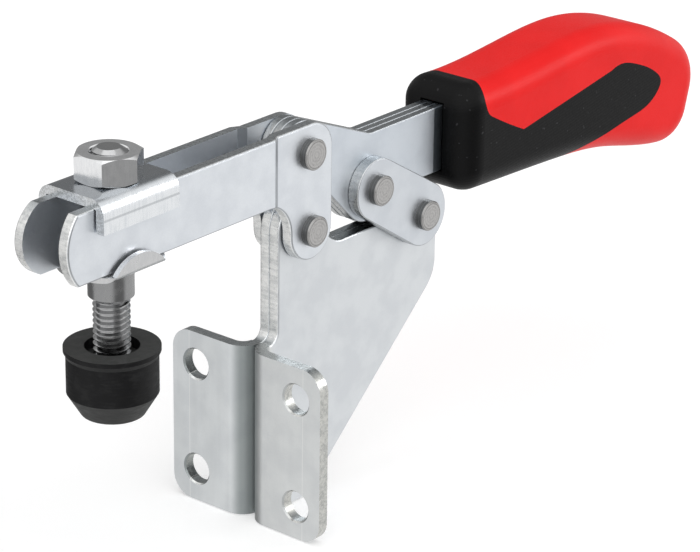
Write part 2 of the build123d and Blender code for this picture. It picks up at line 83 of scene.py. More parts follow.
level_right = Vector((math.cos(camera_turn), math.sin(camera_turn), 0))
camera_back = Vector((
    math.sin(camera_turn) * math.cos(camera_tilt),
    -math.cos(camera_turn) * math.cos(camera_tilt),
    math.sin(camera_tilt),
))
level_up = camera_back.cross(level_right)
camera_right = math.cos(camera_roll) * level_right + math.sin(camera_roll) * level_up
camera_up = math.cos(camera_roll) * level_up - math.sin(camera_roll) * level_right

camera_data = bpy.data.cameras.new("camera")
camera_data.sensor_width = sensor_width
camera_data.lens = focal_pixels / picture_width * sensor_width
camera_data.clip_start = 0.01
camera = bpy.data.objects.new("camera", camera_data)
bpy.context.scene.collection.objects.link(camera)
camera_matrix = Matrix((camera_right, camera_up, camera_back)).transposed().to_4x4()
camera_matrix.translation = (
    camera_right_shift * camera_right + camera_up_shift * camera_up + camera_distance * camera_back
)
camera.matrix_world = camera_matrix
bpy.context.scene.camera = camera
print("lens", round(camera_data.lens, 1), "mm")

# %% [markdown]
# A node tree is a row of small machines joined by wires. These helpers add one machine each
# and wire it up, so that a finish below reads like a recipe. Sizes on the clamp are easiest to
# think of in millimetres, so every pattern first scales the metres of the Object coordinates
# up to millimetres.

# %% Start a finish and wire it
X, Y, Z = 0, 1, 2
MILLIMETRES = 1000.0


def start_finish(name, colour, metallic, roughness):
    """A new material with plain values on its shader."""
    material = bpy.data.materials.new(name)
    material.use_nodes = True
    shader = material.node_tree.nodes["Principled BSDF"]
    shader.inputs["Base Color"].default_value = (*colour, 1.0)
    shader.inputs["Metallic"].default_value = metallic
    shader.inputs["Roughness"].default_value = roughness
    return material


def shader_of(material):
    """The one shader of a finish."""
    return material.node_tree.nodes["Principled BSDF"]


def wire(material, source, target):
    """Joins an output to an input, or sets the input where the source is a plain value."""
    if isinstance(source, bpy.types.NodeSocket):
        material.node_tree.links.new(source, target)
    else:
        target.default_value = source


def paint(material, colour):
    """Joins a colour to the shader."""
    wire(material, colour, shader_of(material).inputs["Base Color"])


# %% [markdown]
# Patterns start from a place. A Mapping node stretches or turns the Object coordinates of the
# place, and then a texture draws noise or waves there. Noise seldom leaves the middle of its
# range, so two ranges are kept here that spread it out, one soft and one crisp.

# %% Patterns
soft_noise = (0.3, 0.7)
crisp_noise = (0.35, 0.65)


def place_on_piece(material, stretch=(1, 1, 1), centre=(0, 0, 0), turn=(0, 0, 0)):
    """The place on the piece in millimetres from centre, turned and stretched."""
    nodes = material.node_tree.nodes
    coordinates = nodes.new("ShaderNodeTexCoord")
    centred = nodes.new("ShaderNodeMapping")
    centred.inputs["Scale"].default_value = (MILLIMETRES,) * 3
    centred.inputs["Location"].default_value = tuple(-value for value in centre)
    shaped = nodes.new("ShaderNodeMapping")
    shaped.inputs["Rotation"].default_value = turn
    shaped.inputs["Scale"].default_value = stretch
    wire(material, coordinates.outputs["Object"], centred.inputs["Vector"])
    wire(material, centred.outputs["Vector"], shaped.inputs["Vector"])
    return shaped.outputs["Vector"]


def grain(material, place, per_millimetre, detail=2.0):
    """Noise with the given number of blotches per millimetre."""
    noise = material.node_tree.nodes.new("ShaderNodeTexNoise")
    noise.inputs["Scale"].default_value = per_millimetre
    noise.inputs["Detail"].default_value = detail
    wire(material, place, noise.inputs["Vector"])
    return noise.outputs["Fac"]


def waves(material, place, kind, direction, scale, distortion=0.6):
    """Rings or bands, about three to a millimetre at a scale of 1."""
    node = material.node_tree.nodes.new("ShaderNodeTexWave")
    node.wave_type = kind
    if kind == "RINGS":
        node.rings_direction = direction
    else:
        node.bands_direction = direction
    node.inputs["Scale"].default_value = scale
    node.inputs["Distortion"].default_value = distortion
    node.inputs["Detail"].default_value = 2.0
    wire(material, place, node.inputs["Vector"])
    return node.outputs["Fac"]


# %% [markdown]
# Masks say how much of a pattern shows where. Most of them come from which way the surface
# faces, so they follow every rounded rim without any drawing by hand.

# %% Masks and mixes
def spread(material, value, low, high, to_low=0.0, to_high=1.0):
    """Maps a value from one range to another, eased and clamped at both ends."""
    node = material.node_tree.nodes.new("ShaderNodeMapRange")
    node.interpolation_type = "SMOOTHSTEP"
    wire(material, value, node.inputs["Value"])
    ends = {"From Min": low, "From Max": high, "To Min": to_low, "To Max": to_high}
    for name, number in ends.items():
        node.inputs[name].default_value = number
    return node.outputs["Result"]


def maths(material, operation, first, second=0.0):
    """One sum, product or other step of arithmetic."""
    node = material.node_tree.nodes.new("ShaderNodeMath")
    node.operation = operation
    wire(material, first, node.inputs[0])
    wire(material, second, node.inputs[1])
    return node.outputs["Value"]


def hump(material, value, rise, fall, height=1.0):
    """Rises from 0 to height over one range of a value, and falls to 0 over another."""
    up = spread(material, value, *rise, 0.0, height)
    down = spread(material, value, *fall, 1.0, 0.0)
    return maths(material, "MULTIPLY", up, down)


def distance(material, value, place):
    """How far a value is from a place, without its sign."""
    return maths(material, "ABSOLUTE", maths(material, "SUBTRACT", value, place))


def colours(material, share, first, second):
    """A colour between two colours."""
    node = material.node_tree.nodes.new("ShaderNodeMix")
    node.data_type = "RGBA"
    wire(material, share, node.inputs["Factor"])
    for source, target in ((first, node.inputs[6]), (second, node.inputs[7])):
        plain = not isinstance(source, bpy.types.NodeSocket)
        wire(material, (*source, 1.0) if plain else source, target)
    return node.outputs[2]


def split(material, vector):
    """The three numbers of a place."""
    node = material.node_tree.nodes.new("ShaderNodeSeparateXYZ")
    wire(material, vector, node.inputs[0])
    return node.outputs


def facing(material, axis):
    """How squarely the surface faces along an axis, from 0 to 1, in the piece's own directions."""
    coordinates = material.node_tree.nodes.new("ShaderNodeTexCoord")
    return maths(material, "ABSOLUTE", split(material, coordinates.outputs["Normal"])[axis])


# %% [markdown]
# Relief is a height that tips the light as if the surface went up and down, and leaves the
# shape alone. It suits marks of a few hundredths of a millimetre. A second relief is laid on
# the first by joining the first one's normal to it.

# %% Roughness, relief and dressing
def roughen(material, pattern, smooth, rough):
    """Spreads a noise between two roughnesses."""
    value = spread(material, pattern, *soft_noise, smooth, rough)
    wire(material, value, shader_of(material).inputs["Roughness"])


def relief(material, height, depth_mm, below=None):
    """Turns a height into a fine relief, depth_mm deep, on the shader's normal."""
    node = material.node_tree.nodes.new("ShaderNodeBump")
    node.inputs["Distance"].default_value = depth_mm / MILLIMETRES
    wire(material, height, node.inputs["Height"])
    if below is not None:
        wire(material, below, node.inputs["Normal"])
    wire(material, node.outputs["Normal"], shader_of(material).inputs["Normal"])
    return node.outputs["Normal"]


def dress(material, *nodes):
    """Gives a finish to the named solids."""
    for node in nodes:
        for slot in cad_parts[node].material_slots:
            slot.material = material
    print(material.name, "on", ", ".join(nodes))


# %% [markdown]
# The plates are pressed from sheet steel and zinc plated. The flat faces are a pale satin with
# a fine grain and soft clouds. Where the press sheared the sheet the edge is rougher: streaks
# run across its thickness, bright where the punch burnished it and dark where it tore, and an
# edge that faces up is painted darker than one that faces forwards, as painted shade. A mask
# from the surface's own direction tells face from edge, so one material does both.

# %% Zinc-plated sheet
zinc_light = (0.80, 0.83, 0.865)
zinc_dark = (0.715, 0.745, 0.785)
clouds_per_mm = 0.16
speckle_per_mm = 2.6
satin_grain_per_mm = 7.0
satin_depth_mm = 0.012


def toned(colour, tone):
    """A colour times a tone, which is one number or one each for red, green and blue."""
    shares = tone if isinstance(tone, tuple) else (tone,) * 3
    return tuple(value * share for value, share in zip(colour, shares))


def plated_face(material, place, speckle, tone):
    """The satin face: clouds and speckle between two tones of zinc."""
    clouds = grain(material, place, clouds_per_mm, detail=4.0)
    share = maths(material, "ADD", spread(material, clouds, *crisp_noise, 0.0, 0.7),
                  spread(material, speckle, *crisp_noise, 0.0, 0.3))
    return colours(material, share, toned(zinc_dark, tone), toned(zinc_light, tone))


# %% Sheared edges, and painted shade and highlights on the rounded rims
sheared_light = (0.90, 0.90, 0.885)
sheared_dark = (0.58, 0.59, 0.59)
# Painted shade for a sheared edge that faces up or down.
painted_shade_edge = (0.34, 0.37, 0.39)
# The next colour is painted shade on the rounded edge. The one after is partly the burnished band of
# the shear and partly a painted highlight.
painted_shade_rim = (0.34, 0.355, 0.37)
burnish_highlight_rim = (0.93, 0.93, 0.92)
torn_per_mm = 1.1
torn_depth_mm = 0.018
burnish_highlight_rise, burnish_highlight_fall = (0.12, 0.22), (0.35, 0.5)
shade_rim_rise, shade_rim_fall = (0.55, 0.78), (0.93, 0.995)


def sheared_edge(material, streaks_and_torn, sheared):
    """The edge that the press sheared: streaked, with painted shade where it faces up or down."""
    share = spread(material, streaks_and_torn, 0.65, 1.35)
    dark, light = toned(sheared_dark, sheared), toned(sheared_light, sheared)
    # Painted shade: an edge that faces up or down is painted darker.
    level = spread(material, facing(material, Z), 0.6, 0.98, 0.0, 0.8)
    return colours(material, level, colours(material, share, dark, light), painted_shade_edge)


def add_rims(material, colour, rim, burnish_highlight):
    """A bright line where the edge starts, partly its burnished band and partly a painted highlight,
    and a painted shade line where the face rolls over.
    """
    # Partly a burnished band and partly a painted highlight, then a painted shade line where the face
    # rolls over.
    squareness = facing(material, Y)
    burnish_highlight_share = hump(material, squareness, burnish_highlight_rise, burnish_highlight_fall, burnish_highlight)
    shade_rim_share = hump(material, squareness, shade_rim_rise, shade_rim_fall, rim)
    return colours(material, shade_rim_share, colours(material, burnish_highlight_share, colour, burnish_highlight_rim), painted_shade_rim)


# %% The whole finish of a sheet
def zinc_sheet(name, edge_mask_from, streak_stretch, rim, tone=1.0, burnish_highlight=0.8, sheared=1.0):
    """Satin plated sheet, with sheared edges where edge_mask_from says so.

    rim is how dark the painted shade line on its rounded edge is, burnish_highlight how bright the
    start of its edge is, partly a burnished band and partly a painted highlight, and sheared the
    tone of the edge.
    """
    material = start_finish(name, zinc_light, 1.0, 0.4)
    place = place_on_piece(material)
    speckle = grain(material, place, speckle_per_mm, detail=3.0)
    torn = grain(material, place, torn_per_mm, detail=5.0)
    streaks = grain(material, place_on_piece(material, streak_stretch), 1.0, detail=4.0)
    streaks_and_torn = maths(material, "ADD", streaks, torn)
    edge = edge_mask_from(material)
    face_colour = plated_face(material, place, speckle, tone)
    edge_colour = sheared_edge(material, streaks_and_torn, sheared)
    plain_colour = colours(material, edge, face_colour, edge_colour)
    paint(material, add_rims(material, plain_colour, rim, burnish_highlight))
    face_rough = spread(material, speckle, *soft_noise, 0.34, 0.47)
    edge_rough = spread(material, torn, *soft_noise, 0.2, 0.42)
    on_face = spread(material, edge, 0, 1, 1, 0)
    rough = maths(material, "ADD", maths(material, "MULTIPLY", face_rough, on_face),
                  maths(material, "MULTIPLY", edge_rough, edge))
    wire(material, rough, shader_of(material).inputs["Roughness"])
    satin_grain = grain(material, place, satin_grain_per_mm)
    satin_relief = relief(material, satin_grain, satin_depth_mm)
    edge_height = maths(material, "MULTIPLY", streaks_and_torn, edge)
    relief(material, edge_height, torn_depth_mm, below=satin_relief)
    return material


# %% The arm and the links
across_sheet = (1.6, 0.25, 1.6)


def edge_of_upright_plate(material):
    """Edges of a plate whose broad faces look along Y."""
    return spread(material, facing(material, Y), 0.35, 0.8, 1.0, 0.0)


arm_zinc = zinc_sheet("zinc_upright_plates", edge_of_upright_plate, across_sheet, rim=0.8)
dress(arm_zinc, "arm_plate_right", "arm_plate_left")
link_zinc = zinc_sheet(
    "zinc_link_plates", edge_of_upright_plate, across_sheet,
    rim=0.8, tone=(0.90, 0.905, 0.91), burnish_highlight=0.3, sheared=0.62,
)
dress(link_zinc, "link_plate_right", "link_plate_left")

# %% [markdown]
# A frame plate is one sheet bent through a right angle: its web looks along Y and its foot
# along X. So its edges need a mask in three parts, one for the web behind the bend, one for the
# top and bottom of the foot, and one for the foot's outer side.

# %% The edges of a frame plate
bend_end_mm = 5.1
bend_side_mm = 10.0
behind_bend_mm = (bend_end_mm, bend_end_mm + 0.3)


def edge_of_foot_plate(material):
    """Edges of a frame plate, where the bend itself counts as face."""
    place = split(material, place_on_piece(material))
    behind_bend = spread(material, place[X], *behind_bend_mm)
    web_edge = maths(material, "MULTIPLY", edge_of_upright_plate(material), behind_bend)
    top_or_bottom = spread(material, facing(material, Z), 0.4, 0.8)
    from_web = maths(material, "ABSOLUTE", place[Y])
    outside_bend = spread(material, from_web, bend_side_mm, bend_side_mm + 0.5)
    not_front = spread(material, facing(material, X), 0.35, 0.75, 1.0, 0.0)
    across = maths(material, "MULTIPLY", not_front, outside_bend)
    in_foot = spread(material, place[X], *behind_bend_mm, 1.0, 0.0)
    foot_edge = maths(material, "MULTIPLY", maths(material, "MAXIMUM", top_or_bottom, across), in_foot)
    return maths(material, "MAXIMUM", web_edge, foot_edge)


# %% [markdown]
# The bend is painted darker, as painted shade where the surface turns, and bending leaves faint
# upright bands on the foot. The rollers left one faint upright line down each half. These are a
# mask that follows the turn of the surface, stretched noise, and a narrow line, all multiplied
# into the plated finish or laid over it. The right half is plated a trace warmer than the left.

# %% The foot's marks and the painted shade of its bend
foot_line_mm = 16.6
foot_line_half_width_mm = 0.14
foot_line_tone = (0.97, 0.97, 0.95)
foot_bands_per_mm = (0.28, 0.28, 0.03)
foot_ends_mm = (bend_end_mm, 7.0)
band_dark = (0.95, 0.95, 0.935)
band_light = (1.0, 1.0, 0.985)
warm_tone = (1.03, 1.01, 0.97)
# Painted shade for the bend of the foot.
painted_bend_shade = (0.42, 0.44, 0.43)


def foot_tint(material, place):
    """Upright bands, a painted shade in the bend and a slightly warmer right half, as a tint."""
    bands = grain(material, place_on_piece(material, foot_bands_per_mm), 1.0, detail=3.0)
    tint = colours(material, spread(material, bands, *crisp_noise), band_dark, band_light)
    # Painted shade: the bend is darkened where the surface turns side on.
    turned_side_on = spread(material, facing(material, Y), 0.04, 0.62)
    before_web = spread(material, place[X], 4.6, 5.3, 1.0, 0.0)
    bend_shade_share = maths(material, "MULTIPLY", turned_side_on, before_web)
    tint = colours(material, bend_shade_share, tint, painted_bend_shade)
    right_half = spread(material, place[Y], -1.0, 1.0, 0.5, 0.0)
    return colours(material, right_half, tint, warm_tone)


def add_foot_marks(material):
    """Multiplies the foot's tint into its finish and rolls a line down each half."""
    plated = shader_of(material).inputs["Base Color"].links[0].from_socket
    place = split(material, place_on_piece(material))
    in_foot = spread(material, place[X], *foot_ends_mm, 1.0, 0.0)
    tinted = material.node_tree.nodes.new("ShaderNodeMix")
    tinted.data_type = "RGBA"
    tinted.blend_type = "MULTIPLY"
    wire(material, in_foot, tinted.inputs["Factor"])
    wire(material, plated, tinted.inputs[6])
    wire(material, foot_tint(material, place), tinted.inputs[7])
    from_line = distance(material, maths(material, "ABSOLUTE", place[Y]), foot_line_mm)
    on_line = spread(material, from_line, 0.0, foot_line_half_width_mm, 0.55, 0.0)
    line = maths(material, "MULTIPLY", on_line, in_foot)
    paint(material, colours(material, line, tinted.outputs[2], foot_line_tone))


foot_zinc = zinc_sheet(
    "zinc_foot_plates", edge_of_foot_plate, across_sheet,
    rim=0.0, tone=(0.95, 0.945, 0.93), burnish_highlight=0.0,
)
add_foot_marks(foot_zinc)
print("foot marks on", foot_zinc.name, "with a line at", foot_line_mm, "mm")

# %% [markdown]
# The foot is bent over a round former, so the outside of each bend is a quarter of a cylinder
# that bulges forwards, and the inside follows it at one sheet's thickness. In the solids both
# arcs are hollowed the other way. So each plate is copied, its top and bottom faces are made
# one face each, and the points of each arc are turned over the line between the arc's ends.

# %% Helpers to select faces and to turn an arc over
foot_top = -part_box("frame_plate_right")[0][Z]
frame_sheet = 0.0027
bend_radius = 0.0051
touching = 0.00002
level_face = 0.999
smooth_below = math.radians(24)


def select_faces(piece, rule):
    """Selects the faces for which the rule holds, in edit mode."""
    bpy.ops.mesh.select_mode(type="FACE")
    bpy.ops.mesh.select_all(action="DESELECT")
    mesh = bmesh.from_edit_mesh(piece.data)
    for face in mesh.faces:
        if rule(face):
            face.select_set(True)
    bmesh.update_edit_mesh(piece.data)


def turn_arc_over(piece, centre, radius):
    """Turns an upright arc, centred where x and |y| are centre, over the line between its ends."""
    mesh = bmesh.from_edit_mesh(piece.data)
    turned = 0
    for point in mesh.verts:
        x, y = point.co.x, abs(point.co.y)
        on_arc = abs(math.hypot(x - centre, y - centre) - radius) < touching
        if on_arc and min(x, y) > centre + touching:
            point.co.x = 2 * centre + radius - y
            point.co.y = math.copysign(2 * centre + radius - x, point.co.y)
            turned += 1
    bmesh.update_edit_mesh(piece.data)
    return turned


# %% Round the foot's bends
def rounded_plate(node):
    """A copy of a frame plate whose bend bulges forwards."""
    bpy.ops.object.select_all(action="DESELECT")
    plate = bpy.data.objects.new(node + "_bent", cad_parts[node].data.copy())
    bpy.context.scene.collection.objects.link(plate)
    bpy.context.view_layer.objects.active = plate
    plate.select_set(True)
    bpy.ops.object.mode_set(mode="EDIT")
    bpy.ops.mesh.select_all(action="SELECT")
    bpy.ops.mesh.remove_doubles(threshold=touching / 10)
    bpy.ops.mesh.customdata_custom_splitnormals_clear()
    for level in (foot_top, -foot_top):
        select_faces(plate, lambda face: abs(face.normal.z) > level_face
                     and abs(face.calc_center_median().z - level) < touching)
        bpy.ops.mesh.dissolve_faces()
    outside = turn_arc_over(plate, 0.0, bend_radius)
    inside = turn_arc_over(plate, frame_sheet, bend_radius - frame_sheet)
    print(node, "bend points turned:", outside, "outside,", inside, "inside")
    bpy.ops.mesh.select_all(action="SELECT")
    bpy.ops.mesh.normals_make_consistent(inside=False)
    bpy.ops.object.mode_set(mode="OBJECT")
    bpy.ops.object.shade_smooth_by_angle(angle=smooth_below)
    plate.data.materials.clear()
    plate.data.materials.append(foot_zinc)
    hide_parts(node)
    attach(plate, "frame")
    return plate


for node in ("frame_plate_right", "frame_plate_left"):
    rounded_plate(node)

# %% [markdown]
# The handle lever is three plates laid together. It has the same satin face, but its laminated
# edge is duller and streaked along its length. The streaks are noise stretched along X. Just
# before the grip a narrow dark band is painted on, as painted shade beside the grip, so its
# place is measured from the grip.

# %% The laminated lever
along_lever = (0.12, 2.4, 0.5)
lever_zinc = zinc_sheet(
    "zinc_lever_plates", edge_of_upright_plate, along_lever,
    rim=0.9, tone=(0.88, 0.90, 0.92), burnish_highlight=0.0, sheared=0.5,
)
# Painted shade: a narrow dark band on the lever just before the grip.
painted_grip_shade = (0.15, 0.17, 0.19)
grip_shade_band_mm = 2.9
grip_shade_fade_mm = 0.35
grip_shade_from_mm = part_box("grip_overmould")[0][X] * MILLIMETRES - grip_shade_band_mm
lever_x = split(lever_zinc, place_on_piece(lever_zinc))[X]
grip_shade = spread(lever_zinc, lever_x, grip_shade_from_mm, grip_shade_from_mm + grip_shade_fade_mm)
plated = shader_of(lever_zinc).inputs["Base Color"].links[0].from_socket
paint(lever_zinc, colours(lever_zinc, grip_shade, plated, painted_grip_shade))
dress(lever_zinc, "handle_plate_right", "handle_plate_middle", "handle_plate_left")

# %% [markdown]
# A rivet's end is faced on a lathe, so its grooves are rings round its own axis, and round its
# side they are bands. A Wave texture draws both. The side is painted dark, as painted shade, and
# so is a fine ring just inside the head's edge, as the painted shade of a groove. Each rivet
# stands in another place, so each gets its own material with the rings centred by a Mapping node.

# %% Turned rivets and bushes
turned_light = (0.50, 0.492, 0.484)
turned_dark = (0.36, 0.355, 0.35)
# Painted shade on the sides of rivets and bushes, and in the fine groove on their heads.
painted_shade_side = (0.11, 0.11, 0.108)
rings_scale = 0.42
bands_scale = 0.45
dust_per_mm = 1.8
turned_depth_mm = 0.006
groove_in_mm = 0.55
groove_half_width_mm = 0.16


def groove_shade_ring(material, place, head_radius_mm):
    """A fine ring a little way inside the rim of a rivet's head, painted dark as the shade of a
    groove.
    """
    across = split(material, place)
    from_axis = maths(material, "SQRT", maths(material, "ADD",
                                              maths(material, "MULTIPLY", across[X], across[X]),
                                              maths(material, "MULTIPLY", across[Z], across[Z])))
    from_groove = distance(material, from_axis, head_radius_mm - groove_in_mm)
    return spread(material, from_groove, 0.0, groove_half_width_mm, 0.6, 0.0)


def turned_pin(name, node):
    """Turned steel with its rings centred on the axis of the named solid, which lies along Y."""
    low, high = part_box(node)
    centre = [(a + b) / 2 * MILLIMETRES for a, b in zip(low, high)]
    head_radius_mm = (high[Z] - low[Z]) / 2 * MILLIMETRES
    material = start_finish(name, turned_light, 1.0, 0.33)
    place = place_on_piece(material, centre=centre)
    rings = waves(material, place, "RINGS", "Y", rings_scale)
    bands = waves(material, place, "BANDS", "Y", bands_scale)
    dust = grain(material, place, dust_per_mm, detail=4.0)
    end_face = spread(material, facing(material, Y), 0.5, 0.9)
    side_face = spread(material, end_face, 0.0, 1.0, 1.0, 0.0)
    cut = maths(material, "ADD", maths(material, "MULTIPLY", rings, end_face),
                maths(material, "MULTIPLY", bands, side_face))
    shade = maths(material, "ADD", maths(material, "MULTIPLY", cut, 0.3), dust)
    end_colour = colours(material, spread(material, shade, 0.2, 1.0), turned_dark, turned_light)
    # Painted shade: a dark ring as the shade of a groove near the head's edge.
    groove_shade = groove_shade_ring(material, place, head_radius_mm)
    end_colour = colours(material, groove_shade, end_colour, painted_shade_side)
    # Painted shade on the side, with paler lathe bands over it.
    band_share = spread(material, bands, 0.8, 1.0, 0.0, 0.12)
    side_colour = colours(material, band_share, painted_shade_side, turned_light)
    paint(material, colours(material, end_face, side_colour, end_colour))
    roughen(material, dust, 0.26, 0.4)
    relief(material, cut, turned_depth_mm)
    dress(material, node)


for pin in ("arm_frame_rivet", "arm_handle_rivet", "link_frame_rivet", "link_handle_rivet",
            "frame_bush_front", "frame_bush_rear", "handle_bush_front", "handle_bush_rear"):
    turned_pin("turned_" + pin, pin)

# %% [markdown]
# The saddle over the arm is drawn from brighter sheet. Its sides were dragged through a die:
# fine upright scratches and a dull line part of the way down. The cut ends are coarse and
# glitter, so their relief is deeper. Its top, under the nut, is painted darker, as painted shade.

# %% The bright pressed saddle
bright_light = (0.84, 0.86, 0.88)
bright_dark = (0.70, 0.73, 0.76)
# Painted shade on the saddle's top.
painted_top_shade = (0.30, 0.32, 0.34)
dull_line = (0.38, 0.40, 0.42)
dragged_per_mm = (4.5, 0.5, 0.2)
coarse_per_mm = 2.2
scratch_depth_mm = 0.005
cut_depth_mm = 0.03


def bright_saddle(name, cut_axis, line_z_mm):
    """Bright sheet, dragged on its sides and cut off along cut_axis."""
    material = start_finish(name, bright_light, 1.0, 0.22)
    place = place_on_piece(material)
    scratches = grain(material, place_on_piece(material, dragged_per_mm), 1.0, detail=4.0)
    clouds = grain(material, place, 0.35, detail=3.0)
    coarse = grain(material, place, coarse_per_mm, detail=4.0)
    side = spread(material, facing(material, Y), 0.5, 0.9)
    cut = spread(material, facing(material, cut_axis), 0.5, 0.85)
    # Painted shade: faces that look up are painted darker.
    top_shade = spread(material, facing(material, Z), 0.75, 0.98, 0.0, 0.85)
    on_side = maths(material, "MULTIPLY", spread(material, scratches, *soft_noise), side)
    shade = maths(material, "ADD", on_side, spread(material, clouds, *soft_noise, 0.0, 0.6))
    face = colours(material, shade, bright_dark, bright_light)
    from_line = distance(material, split(material, place)[Z], line_z_mm)
    line = maths(material, "MULTIPLY", spread(material, from_line, 0.1, 0.4, 0.55, 0.0), side)
    face = colours(material, top_shade, colours(material, line, face, dull_line), painted_top_shade)
    cut_share = spread(material, coarse, 0.35, 0.7)
    cut_colour = colours(material, cut_share, sheared_dark, bright_light)
    paint(material, colours(material, cut, face, cut_colour))
    roughen(material, coarse, 0.17, 0.32)
    scratch_height = maths(material, "MULTIPLY", scratches, side)
    scratch_relief = relief(material, scratch_height, scratch_depth_mm)
    relief(material, maths(material, "MULTIPLY", coarse, cut), cut_depth_mm, below=scratch_relief)
    return material


line_above_rim_mm = 3.0
saddle_line_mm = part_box("upper_saddle")[0][Z] * MILLIMETRES + line_above_rim_mm
dress(bright_saddle("bright_upper_saddle", X, saddle_line_mm), "upper_saddle")

# %% [markdown]
# The nut and the sleeve are turned from bar and polished, and the washer under the arm is
# pressed. The nut's flats carry a fine upright brushing, and the sleeve has lathe bands round
# it. Low roughness lets the studio show in them, which is what makes polished steel read as
# polished.

# %% Polished nut, sleeve and washer
polished_light = (0.86, 0.865, 0.87)
polished_dark = (0.80, 0.805, 0.815)
brushing_per_mm = (2.0, 2.0, 0.5)
smudge_per_mm = 0.5
lathe_bands_scale = 1.1
polish_depth_mm = 0.00025


def polished_steel(name, roughness, band_share, tone):
    """Polished steel, brushed along Z, with lathe bands; its tone paints it lighter or darker, as
    painted light and shade.
    """
    material = start_finish(name, polished_light, 1.0, roughness)
    place = place_on_piece(material)
    brushing = grain(material, place_on_piece(material, brushing_per_mm), 1.0, detail=3.0)
    smudge = grain(material, place, smudge_per_mm, detail=3.0)
    bands = waves(material, place, "BANDS", "Z", lathe_bands_scale, distortion=0.3)
    shade = spread(material, maths(material, "ADD", brushing, smudge), 0.75, 1.25)
    dark, light = toned(polished_dark, tone), toned(polished_light, tone)
    paint(material, colours(material, shade, dark, light))
    roughen(material, smudge, roughness * 0.8, roughness * 1.3)
    height = maths(material, "ADD", maths(material, "MULTIPLY", bands, band_share), brushing)
    relief(material, height, polish_depth_mm)
    return material


# Painted light and shade: each part's tone makes it lighter or darker, the nut lighter and the sleeve
# and washer darker.
dress(polished_steel("polished_nut", 0.16, 0.0, 1.04), "lock_nut")
dress(polished_steel("turned_sleeve", 0.24, 1.0, 0.36), "threaded_sleeve")
dress(polished_steel("pressed_washer", 0.24, 0.0, 0.72), "lower_saddle")

# %% [markdown]
# The spindle is an M8 screw, and its thread shows between the sleeve and the cap. A thread is
# one ridge wound round a core: the profile of a single turn is drawn as a few points, and a
# Screw modifier winds it up along Z, one pitch a turn.

# %% The profile of one turn
spindle_low, spindle_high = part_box("spindle")
spindle_x = (spindle_low[X] + spindle_high[X]) / 2
thread_pitch = 0.00125
thread_outer_radius = 0.00395
thread_root_radius = 0.00322
profile_turns = (
    (0.00, thread_root_radius),
    (0.12, thread_root_radius),
    (0.45, thread_outer_radius),
    (0.58, thread_outer_radius),
    (0.92, thread_root_radius),
    (1.00, thread_root_radius),
)

bpy.ops.object.select_all(action="DESELECT")
bpy.ops.mesh.primitive_plane_add(size=thread_pitch, location=(0, 0, 0))
spindle = bpy.context.object
spindle.name = "spindle_thread"
profile = bmesh.new()
corners = [profile.verts.new((radius, 0, share * thread_pitch)) for share, radius in profile_turns]
for lower, upper in zip(corners, corners[1:]):
    profile.edges.new((lower, upper))
profile.to_mesh(spindle.data)
profile.free()
print("profile points", len(spindle.data.vertices))

# %% [markdown]
# The thread leaves out the plain lower end, with the neck and the disc, and the chamfer. The
# winding is a turn too long at both ends, so that both can be cut flat. It starts a little more
# than one turn low, which keeps its points off the plane of the cut.

# %% Wind the thread
plain_end_height = 0.004
chamfer_height = 0.00075
thread_start_z = spindle_low[Z] + plain_end_height
thread_end_z = spindle_high[Z] - chamfer_height
turn_steps = 40
turns_below = 1.0137

thread_turns = math.ceil((thread_end_z - thread_start_z) / thread_pitch) + 2
winding = spindle.modifiers.new("winding", "SCREW")
winding.axis = "Z"
winding.screw_offset = thread_pitch
winding.iterations = thread_turns
winding.steps = turn_steps
winding.render_steps = turn_steps
bpy.ops.object.modifier_apply(modifier="winding")
winding_z = thread_start_z - turns_below * thread_pitch
spindle.data.transform(Matrix.Translation((spindle_x, 0, winding_z)))
print("thread turns", thread_turns, "faces", len(spindle.data.polygons))

# %% [markdown]
# Bisect cuts a mesh with a plane and can close the cut with a face. Its threshold is in metres,
# so it is made far smaller than a thread. Cut at both ends, the wound strip becomes a closed
# rod, and its faces are turned to point outwards before any of them is picked by its direction.

# %% Cut both ends flat
cut_threshold = thread_pitch / 10000

bpy.ops.object.mode_set(mode="EDIT")
bpy.ops.mesh.select_all(action="SELECT")
bpy.ops.mesh.remove_doubles(threshold=thread_pitch / 500)
for cut_z, waste in ((thread_start_z, "clear_inner"), (thread_end_z, "clear_outer")):
    bpy.ops.mesh.select_all(action="SELECT")
    bpy.ops.mesh.bisect(
        plane_co=(spindle_x, 0, cut_z), plane_no=(0, 0, 1),
        use_fill=True, threshold=cut_threshold, **{waste: True},
    )
bpy.ops.mesh.select_all(action="SELECT")
bpy.ops.mesh.normals_make_consistent(inside=False)
print("rod faces", len(bmesh.from_edit_mesh(spindle.data).faces))

# %% [markdown]
# The top face is pulled up and scaled in, as the chamfer on a real screw is. The bottom face
# is pulled down into a smooth neck, widened, and pulled down again into the disc that the cap
# hides.

# %% Draw out the top, the neck and the disc
spindle_end_radius = 0.0028
disc_radius = (spindle_high[X] - spindle_low[X]) / 2
disc_height = 0.003
end_face = 0.99
end_reach = 0.00001


def draw_out(move_z, radius_factor):
    """Extrudes the selected face along Z and scales it about the spindle's axis."""
    bpy.ops.mesh.extrude_region_move(TRANSFORM_OT_translate={"value": (0, 0, move_z)})
    bpy.ops.transform.resize(
        value=(radius_factor, radius_factor, 1),
        center_override=(spindle_x, 0, 0),
    )


